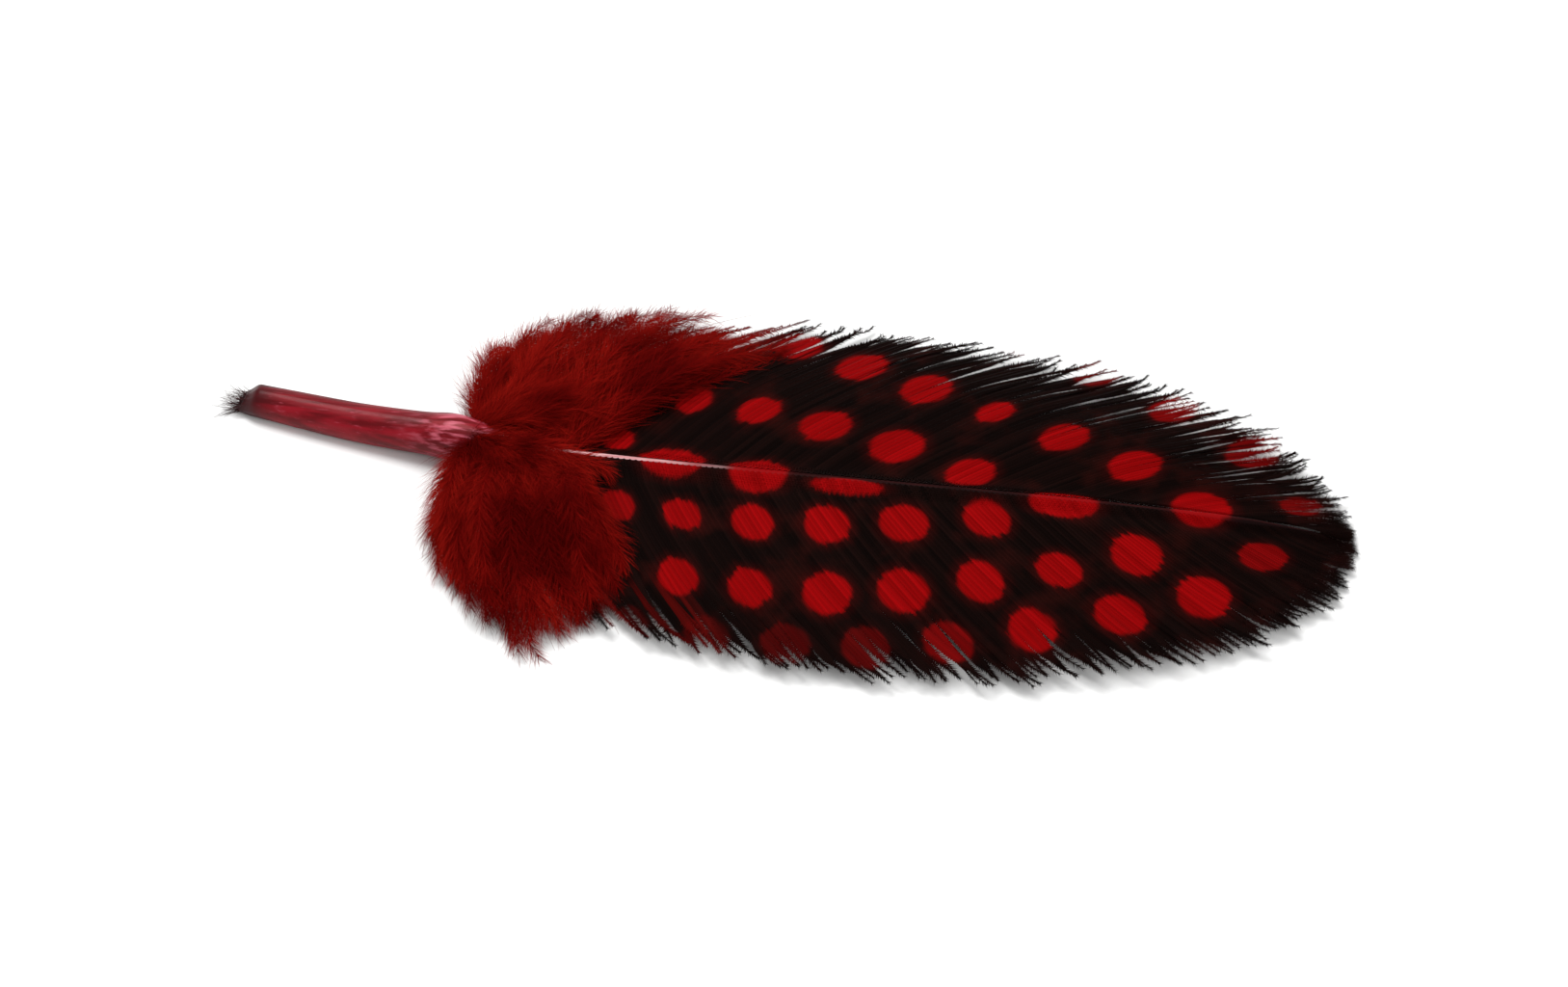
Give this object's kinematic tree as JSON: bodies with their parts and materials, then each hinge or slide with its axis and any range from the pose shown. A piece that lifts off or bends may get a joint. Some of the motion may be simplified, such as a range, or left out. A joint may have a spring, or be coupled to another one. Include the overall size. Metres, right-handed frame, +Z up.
{
  "type": "guinea fowl feather",
  "caption": "Spotted body feather lying outer side up, with a bare quill, soft down at its base and a rounded vane of barb locks.",
  "frame": {"origin": "on the surface that the feather lies on, at the middle of its footprint", "axes": "+X along the feather from the quill to the vane's tip, +Y across it, +Z up out of its outer side"},
  "size_m": [0.068, 0.0322, 0.0044],
  "materials": {
    "vane": "matte black barbs with round dyed red spots",
    "down": "soft matte dyed red down",
    "quill": "satin translucent keratin, dyed pinkish red"
  },
  "bodies": {
    "root": {"feather": "vane"}
  },
  "joints": []
}
